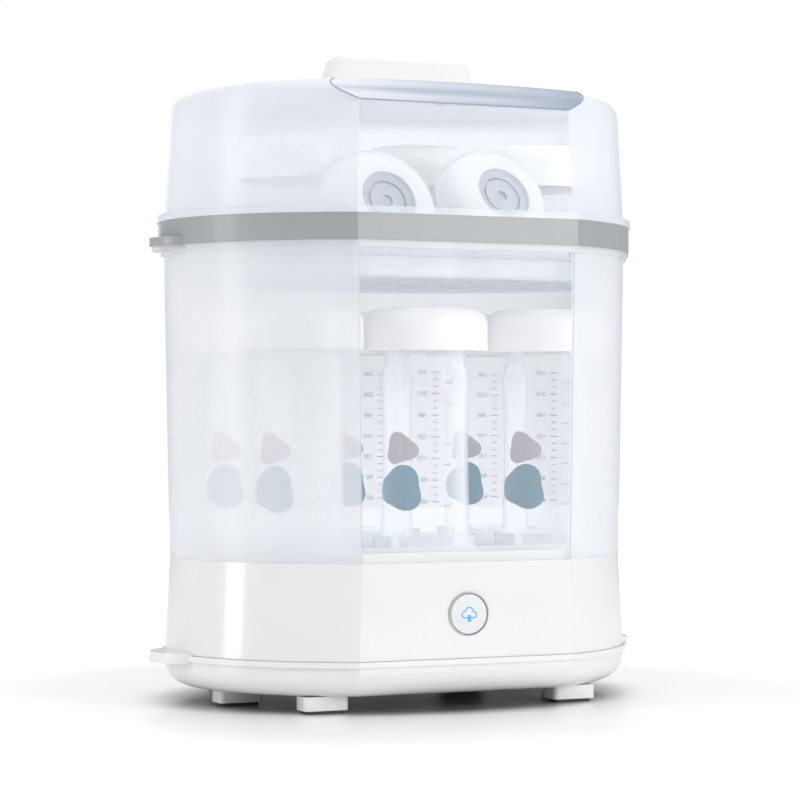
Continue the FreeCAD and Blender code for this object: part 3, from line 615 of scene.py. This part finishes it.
def buildCreaseTree():
    # sweeps a fine round bead along every wire it is given
    tree = bpy.data.node_groups.new("creaseTube", "GeometryNodeTree")
    tree.interface.new_socket(name="Geometry", in_out="INPUT", socket_type="NodeSocketGeometry")
    ids = addSockets(tree, [("Radius", "Float"), ("Finish", "Material")])
    tree.interface.new_socket(name="Geometry", in_out="OUTPUT", socket_type="NodeSocketGeometry")
    start = tree.nodes.new("NodeGroupInput")
    end = tree.nodes.new("NodeGroupOutput")
    toCurve = tree.nodes.new("GeometryNodeMeshToCurve")
    circle = tree.nodes.new("GeometryNodeCurvePrimitiveCircle")
    circle.inputs["Resolution"].default_value = creaseLimits["sides"]
    tube = tree.nodes.new("GeometryNodeCurveToMesh")
    tube.inputs["Fill Caps"].default_value = True
    real = tree.nodes.new("GeometryNodeRealizeInstances")
    paint = tree.nodes.new("GeometryNodeSetMaterial")
    tree.links.new(start.outputs["Geometry"], toCurve.inputs["Mesh"])
    tree.links.new(start.outputs["Radius"], circle.inputs["Radius"])
    tree.links.new(toCurve.outputs["Curve"], tube.inputs["Curve"])
    tree.links.new(circle.outputs["Curve"], tube.inputs["Profile Curve"])
    tree.links.new(tube.outputs["Mesh"], real.inputs["Geometry"])
    tree.links.new(real.outputs["Geometry"], paint.inputs["Geometry"])
    tree.links.new(start.outputs["Finish"], paint.inputs["Material"])
    tree.links.new(paint.outputs["Geometry"], end.inputs["Geometry"])
    return tree, ids


def creasePiece(name, s, shell, wanted, body):
    # a bead on each edge that "wanted" picks, given the faces that meet there and the edge's direction
    mesh = shell.data
    kinds = {}
    for face in mesh.polygons:
        if face.normal.y < creaseLimits["front"] or face.material_index == frosted:
            for key in face.edge_keys:
                kinds.setdefault(key, []).append(face)
    bm = bmesh.new()
    for (a, b), faces in kinds.items():
        first, second = mesh.vertices[a].co, mesh.vertices[b].co
        inside = s["low"] <= min(first.z, second.z) and max(first.z, second.z) <= s["high"]
        if inside and wanted(faces, (second - first).normalized()):
            bm.edges.new([bm.verts.new(first), bm.verts.new(second)])
    bmesh.ops.remove_doubles(bm, verts=bm.verts, dist=meshSettings["wireWeld"])
    wire = bpy.data.meshes.new(name + "Wire")
    bm.to_mesh(wire)
    bm.free()
    holder = link(name + "Wire", wire)
    step = holder.modifiers.new("creaseTube", "NODES")
    step.node_group = creaseTree
    step[creaseIds["Radius"]] = s["radius"]
    step[creaseIds["Finish"]] = finishes[s["finish"]]
    bead = bakeMesh(holder)
    bead.name = name
    bead.shade_smooth()
    piece = link(name, bead)
    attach(piece, body)
    return piece


def onLid(faces, along):
    # where two finishes meet, but not along the top of the brow
    found = {face.material_index for face in faces}
    browTop = found == {frosted, brow} and abs(along.x) > creaseLimits["across"]
    return len(found) > 1 and not browTop


def onWindow(faces, along):
    # the two upright sides of the window
    found = {face.material_index for face in faces}
    return len(found) > 1 and abs(along.z) > creaseLimits["upright"]


def onSeam(faces, along):
    # a wall that faces away from the middle of the base
    for face in faces:
        c, n = face.center, face.normal
        if abs(n.z) < creaseLimits["wall"] and n.x * c.x + n.y * c.y > 0:
            return True
    return False


creaseTree, creaseIds = buildCreaseTree()
baseHousing = bpy.data.objects["baseHousing"]
creasePiece("lidShadeLine", creaseSettings["lidShadeLine"], lidShell, onLid, "lid")
creasePiece("windowShadeLine", creaseSettings["windowShadeLine"], bodyShell, onWindow, "shell")
creasePiece("baseSeam", creaseSettings["baseSeam"], baseHousing, onSeam, "base")
print("pieces ready")


# the printing on the bottles: a pebble pair in front and measuring scales behind

# lengths here are in mm and turns in degrees; the form is a radius at a height over the foot
bottleForm = {"low": (27.0, 4.0), "waist": (25.4, 50.0), "shoulder": (26.6, 102.0)}
pebbleGrid = {"rings": 7, "steps": 60, "skin": 0.16, "under": 0.02, "sharp": 40.0}
pebbleSettings = {
    "pebbleBlue": {"height": 37.4, "turn": 207.0, "size": 12.6, "wide": 1.28, "lobe": 0.15, "lean": 68.0},
    "pebbleGrey": {"height": 60.6, "turn": 209.5, "size": 9.0, "wide": 1.22, "lobe": 0.14, "lean": 108.0},
}
scaleSettings = {"first": 28.3, "step": 4.333, "count": 19, "longEvery": 3, "long": 4.4, "short": 2.2,
                 "line": 0.5, "lift": 0.12, "turn": 52.0, "numberTurn": 62.5, "numberSize": 4.0,
                 "numberFirst": 60, "numberStep": 30}
ounceSettings = {"first": 26.0, "step": 12.32, "count": 7, "longEvery": 1, "long": 3.6, "short": 3.6,
                 "line": 0.5, "lift": 0.12, "turn": 36.0, "numberTurn": 28.0, "numberSize": 3.8,
                 "numberFirst": 2, "numberStep": 1}
numberSettings = {"rows": 7, "depth": 0.04, "curve": 3}


def sideCurve(form):
    # radius = waist + slope * h + bend * h * h, with h measured from the waist
    (r0, z0), (r1, z1), (r2, z2) = form["low"], form["waist"], form["shoulder"]
    h0, h2 = z0 - z1, z2 - z1
    bend = ((r2 - r1) / h2 - (r0 - r1) / h0) / (h2 - h0)
    slope = (r0 - r1) / h0 - bend * h0
    return r1, z1, slope, bend


def bottleRadius(z):
    waist, waistZ, slope, bend = sideCurve(bottleForm)
    h = z - waistZ
    return waist + slope * h + bend * h * h


def onBottle(along, z, turn, lift):
    r = bottleRadius(z) + lift
    angle = math.radians(turn) + along / r
    return Vector((r * math.cos(angle), r * math.sin(angle), z)) * mm


def pebblePoint(s, share, t, lift):
    # a circle with three soft lobes, "share" of the way out from its middle
    r = s["size"] * share * (1 + s["lobe"] * math.cos(3 * (t - math.radians(s["lean"]))))
    return onBottle(s["wide"] * r * math.cos(t), s["height"] + r * math.sin(t), s["turn"], lift)


def pebbleMesh(name, s):
    # a rounded three-cornered patch that hugs the bottle, with a thin edge
    rings, steps = pebbleGrid["rings"], pebbleGrid["steps"]
    bm = bmesh.new()
    rows = []
    for lift in (pebbleGrid["skin"], pebbleGrid["under"]):
        row = [[bm.verts.new(onBottle(0.0, s["height"], s["turn"], lift))]]
        for ring in range(1, rings + 1):
            turns = [2 * math.pi * i / steps for i in range(steps)]
            row.append([bm.verts.new(pebblePoint(s, ring / rings, t, lift)) for t in turns])
        rows.append(row)
    for row, outward in zip(rows, (True, False)):
        for ring in range(rings):
            inner, outer = row[ring], row[ring + 1]
            for i in range(steps):
                j = (i + 1) % steps
                corners = [inner[0], outer[i], outer[j]]
                if ring > 0:
                    corners = [inner[i], outer[i], outer[j], inner[j]]
                bm.faces.new(corners if outward else corners[::-1])
    for i in range(steps):
        j = (i + 1) % steps
        bm.faces.new([rows[0][-1][i], rows[1][-1][i], rows[1][-1][j], rows[0][-1][j]])
    mesh = bpy.data.meshes.new(name)
    bm.to_mesh(mesh)
    bm.free()
    mesh.shade_smooth()
    mesh.set_sharp_from_angle(angle=math.radians(pebbleGrid["sharp"]))
    return mesh


def addNode(tree, kind, values=(), wires=()):
    node = tree.nodes.new(kind)
    for label, value in values:
        node.inputs[label].default_value = value
    for label, source in wires:
        tree.links.new(source, node.inputs[label])
    return node


def treeMath(tree, operation, first, second=None):
    return addMath(tree.nodes, tree.links, operation, first, second)


def buildTickTree():
    # a column of fine bars, every so many of them long, wrapped round a waisted bottle
    tree = bpy.data.node_groups.new("scaleTicks", "GeometryNodeTree")
    ids = addSockets(tree, [
        ("Count", "Int"), ("Long Every", "Int"), ("First", "Float"), ("Step", "Float"), ("Long", "Float"),
        ("Short", "Float"), ("Line", "Float"), ("Lift", "Float"), ("Turn", "Float"), ("Waist", "Float"),
        ("Waist Height", "Float"), ("Slope", "Float"), ("Bend", "Float"), ("Finish", "Material")])
    tree.interface.new_socket(name="Geometry", in_out="OUTPUT", socket_type="NodeSocketGeometry")
    i = tree.nodes.new("NodeGroupInput").outputs
    end = tree.nodes.new("NodeGroupOutput")
    foot = addNode(tree, "ShaderNodeCombineXYZ", wires=[("Z", i["First"])])
    stride = addNode(tree, "ShaderNodeCombineXYZ", wires=[("Z", i["Step"])])
    column = addNode(tree, "GeometryNodeMeshLine", wires=[
        ("Count", i["Count"]), ("Start Location", foot.outputs[0]), ("Offset", stride.outputs[0])])
    barSize = addNode(tree, "ShaderNodeCombineXYZ", [("X", 1.0)], [("Y", i["Line"]), ("Z", i["Line"])])
    bar = addNode(tree, "GeometryNodeMeshCube", [("Vertices X", 5)], [("Size", barSize.outputs[0])])
    place = treeMath(tree, "MODULO", addNode(tree, "GeometryNodeInputIndex").outputs[0], i["Long Every"])
    isLong = treeMath(tree, "LESS_THAN", place, 0.5)
    extra = treeMath(tree, "MULTIPLY", isLong, treeMath(tree, "SUBTRACT", i["Long"], i["Short"]))
    length = treeMath(tree, "ADD", i["Short"], extra)
    stretch = addNode(tree, "ShaderNodeCombineXYZ", [("Y", 1.0), ("Z", 1.0)], [("X", length)])
    bars = addNode(tree, "GeometryNodeInstanceOnPoints", wires=[
        ("Points", column.outputs["Mesh"]), ("Instance", bar.outputs["Mesh"]),
        ("Scale", stretch.outputs[0])])
    solid = addNode(tree, "GeometryNodeRealizeInstances", wires=[("Geometry", bars.outputs["Instances"])])
    spot = addNode(tree, "GeometryNodeInputPosition").outputs[0]
    where = addNode(tree, "ShaderNodeSeparateXYZ", wires=[("Vector", spot)])
    x, y, z = where.outputs
    h = treeMath(tree, "SUBTRACT", z, i["Waist Height"])
    slope = treeMath(tree, "ADD", i["Slope"], treeMath(tree, "MULTIPLY", h, i["Bend"]))
    side = treeMath(tree, "MULTIPLY", h, slope)
    skin = treeMath(tree, "ADD", i["Waist"], treeMath(tree, "ADD", side, i["Lift"]))
    r = treeMath(tree, "SUBTRACT", skin, y)
    angle = treeMath(tree, "ADD", i["Turn"], treeMath(tree, "DIVIDE", x, skin))
    bent = addNode(tree, "ShaderNodeCombineXYZ", wires=[
        ("X", treeMath(tree, "MULTIPLY", r, treeMath(tree, "COSINE", angle))),
        ("Y", treeMath(tree, "MULTIPLY", r, treeMath(tree, "SINE", angle))), ("Z", z)])
    wrapped = addNode(tree, "GeometryNodeSetPosition", wires=[
        ("Geometry", solid.outputs[0]), ("Position", bent.outputs[0])])
    real = addNode(tree, "GeometryNodeRealizeInstances", wires=[("Geometry", wrapped.outputs[0])])
    paint = addNode(tree, "GeometryNodeSetMaterial", wires=[
        ("Geometry", real.outputs[0]), ("Material", i["Finish"])])
    tree.links.new(paint.outputs[0], end.inputs[0])
    return tree, ids


def tickMesh(s, tree, ids):
    waist, waistZ, slope, bend = sideCurve(bottleForm)
    holder = link("tickHolder", bpy.data.meshes.new("tickHolder"))
    step = holder.modifiers.new("scaleTicks", "NODES")
    step.node_group = tree
    values = {"Count": s["count"], "Long Every": s["longEvery"], "First": s["first"] * mm,
              "Step": s["step"] * mm, "Long": s["long"] * mm, "Short": s["short"] * mm,
              "Line": s["line"] * mm, "Lift": s["lift"] * mm, "Turn": math.radians(s["turn"]),
              "Waist": waist * mm, "Waist Height": waistZ * mm, "Slope": slope,
              "Bend": bend / mm, "Finish": finishes["scaleInk"]}
    for label, value in values.items():
        step[ids[label]] = value
    return bakeMesh(holder)


def numberMesh(text, z, s):
    data = bpy.data.curves.new("scaleNumber", "FONT")
    data.body = text
    data.size = s["numberSize"]
    data.extrude = numberSettings["depth"]
    data.resolution_u = numberSettings["curve"]
    data.align_y = "CENTER"
    mesh = bakeMesh(link("scaleNumber", data))
    for vertex in mesh.vertices:
        x, y, depth = vertex.co
        vertex.co = onBottle(x, z + y, s["numberTurn"], s["lift"] + depth)
    return mesh


def joined(name, meshes):
    bm = bmesh.new()
    for mesh in meshes:
        bm.from_mesh(mesh)
    whole = bpy.data.meshes.new(name)
    bm.to_mesh(whole)
    bm.free()
    return whole


tickTree, tickIds = buildTickTree()
scaleMeshes = [tickMesh(scaleSettings, tickTree, tickIds), tickMesh(ounceSettings, tickTree, tickIds)]
for row in range(numberSettings["rows"]):
    for scale in (scaleSettings, ounceSettings):
        height = scale["first"] + row * scale["longEvery"] * scale["step"]
        text = str(scale["numberFirst"] + row * scale["numberStep"])
        scaleMeshes.append(numberMesh(text, height, scale))
prints = {"scaleInk": joined("scaleMarks", scaleMeshes)}
for kind, row in pebbleSettings.items():
    prints[kind] = pebbleMesh(kind, row)
for number in range(1, bottleCount + 1):
    low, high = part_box("bottle_body_%d" % number)
    foot = Vector(((low.x + high.x) / 2, (low.y + high.y) / 2, low.z))
    for kind, source in prints.items():
        mesh = source.copy()
        mesh.transform(Matrix.Translation(foot))
        mesh.materials.clear()
        mesh.materials.append(finishes[kind])
        mark = link("%s%d" % ("scaleMarks" if kind == "scaleInk" else kind, number), mesh)
        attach(mark, "rack")
print("bottle printing ready")
